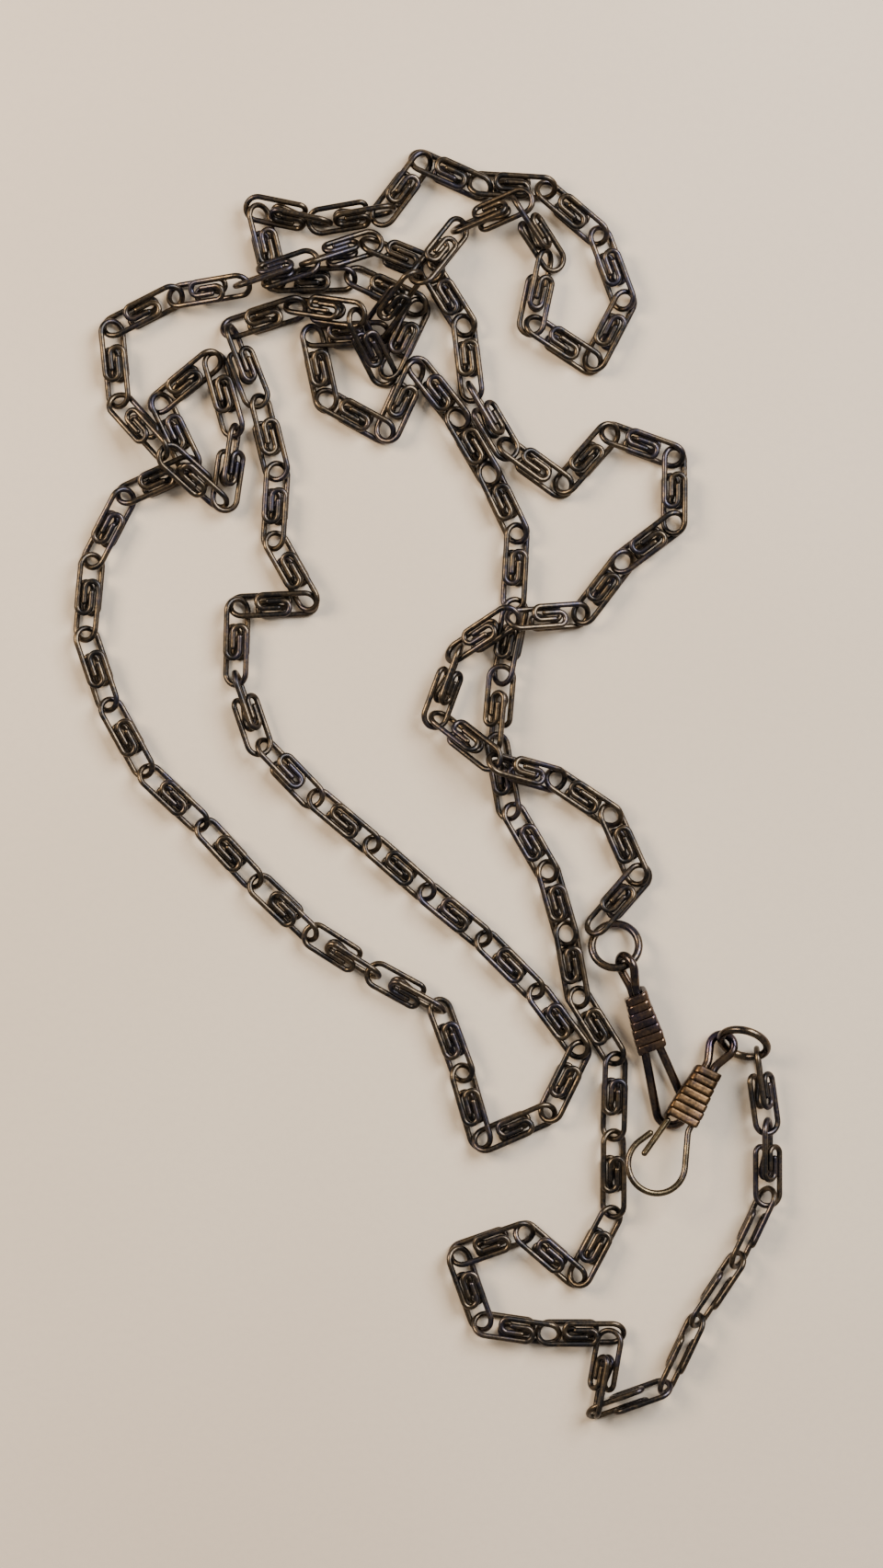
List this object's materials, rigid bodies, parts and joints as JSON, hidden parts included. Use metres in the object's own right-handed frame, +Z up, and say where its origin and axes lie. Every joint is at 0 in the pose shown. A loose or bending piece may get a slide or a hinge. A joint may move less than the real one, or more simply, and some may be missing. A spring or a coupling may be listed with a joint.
{
  "type": "pocket watch chain",
  "caption": "Long fine pocket watch guard chain of curled wire links lying in a heap, with a wound spring hook on one end and a wound drop loop on the other, each held by a jump ring.",
  "frame": {"origin": "on the table, under the middle of the laid-out chain", "axes": "+Y along the long way of the laid-out chain, towards the heap at its top; +X towards the two clasps; +Z up from the table"},
  "size_m": [0.1061, 0.1902, 0.0089],
  "materials": {
    "link": "bronzed, dark gunmetal tone with worn golden edges",
    "ring": "bronzed, satin",
    "clasp_wire": "bronzed, satin",
    "binding": "coppery gilt, worn",
    "spring_wire": "drawn hard, pale gilt"
  },
  "bodies": {
    "heap": {"heap_links_01": "link", "heap_links_02": "link", "heap_links_03": "link", "heap_links_04": "link", "heap_links_05": "link", "heap_links_06": "link", "heap_links_07": "link", "heap_links_08": "link", "heap_links_09": "link", "heap_links_10": "link", "heap_links_11": "link", "heap_links_12": "link", "heap_links_13": "link", "heap_links_14": "link", "heap_links_15": "link", "heap_links_16": "link", "heap_links_17": "link", "heap_links_18": "link", "heap_links_19": "link", "heap_links_20": "link", "heap_links_21": "link", "heap_links_22": "link", "heap_links_23": "link", "heap_links_24": "link", "heap_links_25": "link", "heap_links_26": "link", "heap_links_27": "link", "heap_links_28": "link", "heap_links_29": "link", "heap_links_30": "link", "heap_links_31": "link", "heap_links_32": "link", "heap_links_33": "link"},
    "hook_end_link_7": {"hook_end_link_7": "link"},
    "hook_end_link_6": {"hook_end_link_6": "link"},
    "hook_end_link_5": {"hook_end_link_5": "link"},
    "hook_end_link_4": {"hook_end_link_4": "link"},
    "hook_end_link_3": {"hook_end_link_3": "link"},
    "hook_end_link_2": {"hook_end_link_2": "link"},
    "hook_end_link_1": {"hook_end_link_1": "link"},
    "hook_ring": {"hook_ring": "ring"},
    "hook_clasp": {"hook_eye": "clasp_wire", "hook_binding": "binding", "spring_hook": "spring_wire"},
    "hook_tongue": {"hook_tongue": "spring_wire"},
    "catch_end_link_3": {"catch_end_link_3": "link"},
    "catch_end_link_2": {"catch_end_link_2": "link"},
    "catch_end_link_1": {"catch_end_link_1": "link"},
    "catch_ring": {"catch_ring": "ring"},
    "catch_clasp": {"catch_eye": "clasp_wire", "catch_binding": "binding", "catch_loop": "clasp_wire"}
  },
  "joints": [
    {"name": "hook_end_link_7_turn", "type": "hinge", "parent": "heap", "child": "hook_end_link_7", "pos_m": [0.02811, -0.08215, 0.00166], "axis": [0, 0, 1], "range_deg": [-11, 0]},
    {"name": "hook_end_link_6_turn", "type": "hinge", "parent": "hook_end_link_7", "child": "hook_end_link_6", "pos_m": [0.02491, -0.09392, 0.00234], "axis": [0, 0, -1], "range_deg": [0, 23]},
    {"name": "hook_end_link_5_turn", "type": "hinge", "parent": "hook_end_link_6", "child": "hook_end_link_5", "pos_m": [0.03554, -0.0903, 0.00196], "axis": [0, 0, 1], "range_deg": [-45, 0]},
    {"name": "hook_end_link_4_turn", "type": "hinge", "parent": "hook_end_link_5", "child": "hook_end_link_4", "pos_m": [0.04023, -0.08017, 0.00195], "axis": [0, 0, -1], "range_deg": [0, 45]},
    {"name": "hook_end_link_3_turn", "type": "hinge", "parent": "hook_end_link_4", "child": "hook_end_link_3", "pos_m": [0.04632, -0.07118, 0.00195], "axis": [0, 0, 1], "range_deg": [-45, 0]},
    {"name": "hook_end_link_2_turn", "type": "hinge", "parent": "hook_end_link_3", "child": "hook_end_link_2", "pos_m": [0.05096, -0.06175, 0.00204], "axis": [0, 0, -1], "range_deg": [0, 45]},
    {"name": "hook_end_link_1_turn", "type": "hinge", "parent": "hook_end_link_2", "child": "hook_end_link_1", "pos_m": [0.05083, -0.05119, 0.00219], "axis": [0, 0, 1], "range_deg": [-45, 0]},
    {"name": "hook_ring_turn", "type": "hinge", "parent": "hook_end_link_1", "child": "hook_ring", "pos_m": [0.04932, -0.04069, 0.002], "axis": [0, 0, 1], "range_deg": [-16, 6]},
    {"name": "hook_clasp_turn", "type": "hinge", "parent": "hook_ring", "child": "hook_clasp", "pos_m": [0.04412, -0.03889, 0.0021], "axis": [0, 0, -1], "range_deg": [-35, 10]},
    {"name": "tongue_flex", "type": "hinge", "parent": "hook_clasp", "child": "hook_tongue", "pos_m": [0.03566, -0.05003, 0.00492], "axis": [0.0997, 0.1727, 0.9799], "range_deg": [0, 14], "stiffness_Nm_per_rad": 0.005},
    {"name": "catch_end_link_3_rock", "type": "hinge", "parent": "heap", "child": "catch_end_link_3", "pos_m": [0.02336, -0.00202, 0.00141], "axis": [0.8319, -0.555, 0.0001], "range_deg": [-15, 5]},
    {"name": "catch_end_link_2_rock", "type": "hinge", "parent": "heap", "child": "catch_end_link_2", "pos_m": [0.02935, -0.00904, 0.00141], "axis": [0.4065, -0.9137, 0.0001], "range_deg": [-3, 15]},
    {"name": "catch_end_link_1_rock", "type": "hinge", "parent": "heap", "child": "catch_end_link_1", "pos_m": [0.02852, -0.01737, 0.00186], "axis": [-0.6584, -0.7451, 0.1069], "range_deg": [-3, 9]},
    {"name": "catch_ring_spin", "type": "hinge", "parent": "heap", "child": "catch_ring", "pos_m": [0.02806, -0.02416, 0.00233], "axis": [-0.0655, 0.3974, 0.9153], "range_deg": [-3, 3]},
    {"name": "catch_clasp_turn", "type": "hinge", "parent": "heap", "child": "catch_clasp", "pos_m": [0.02962, -0.027, 0.00367], "axis": [0, 0, -1], "range_deg": [-3, 3]}
  ]
}
